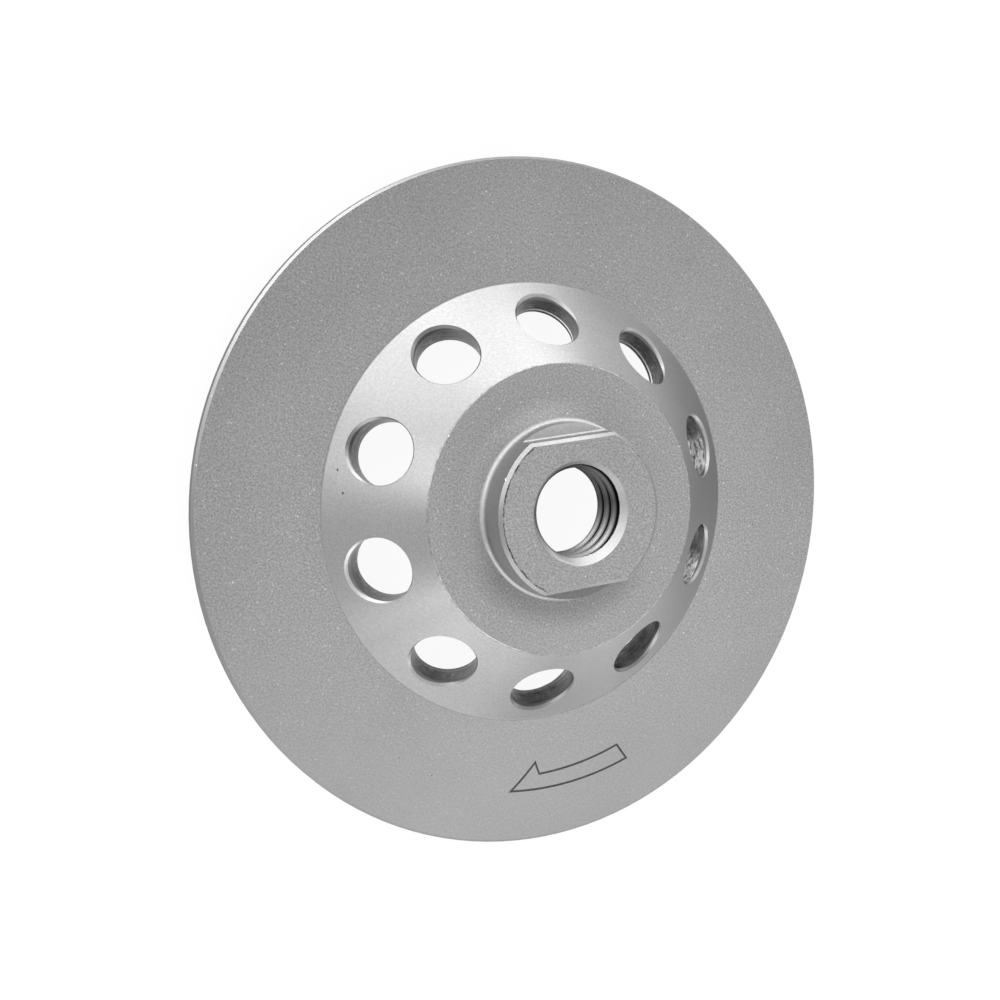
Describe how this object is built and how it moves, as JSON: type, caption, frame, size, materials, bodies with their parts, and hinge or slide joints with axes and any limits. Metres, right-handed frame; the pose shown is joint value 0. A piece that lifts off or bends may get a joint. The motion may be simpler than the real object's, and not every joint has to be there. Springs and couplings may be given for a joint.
{
  "type": "diamond cup wheel",
  "caption": "Steel cup grinding wheel with rows of diamond segments, a threaded boss with spanner flats and a ring of countersunk dust holes in its cone.",
  "frame": {"origin": "on the wheel's axis, at the level of the segments' working face", "axes": "+Z along the axis towards the boss, +X through the middle of one dust hole"},
  "size_m": [0.11, 0.11, 0.0249],
  "materials": {
    "body_steel": "finely turned silver-grey steel with a slight sparkle",
    "diamond_bond": "rough sintered metal bond with diamond grit"
  },
  "bodies": {
    "root": {"wheel_body": "body_steel", "segment_outer_01": "diamond_bond", "segment_outer_02": "diamond_bond", "segment_outer_03": "diamond_bond", "segment_outer_04": "diamond_bond", "segment_outer_05": "diamond_bond", "segment_outer_06": "diamond_bond", "segment_outer_07": "diamond_bond", "segment_outer_08": "diamond_bond", "segment_inner_01": "diamond_bond", "segment_inner_02": "diamond_bond", "segment_inner_03": "diamond_bond", "segment_inner_04": "diamond_bond", "segment_inner_05": "diamond_bond", "segment_inner_06": "diamond_bond", "segment_inner_07": "diamond_bond", "segment_inner_08": "diamond_bond"}
  },
  "joints": []
}
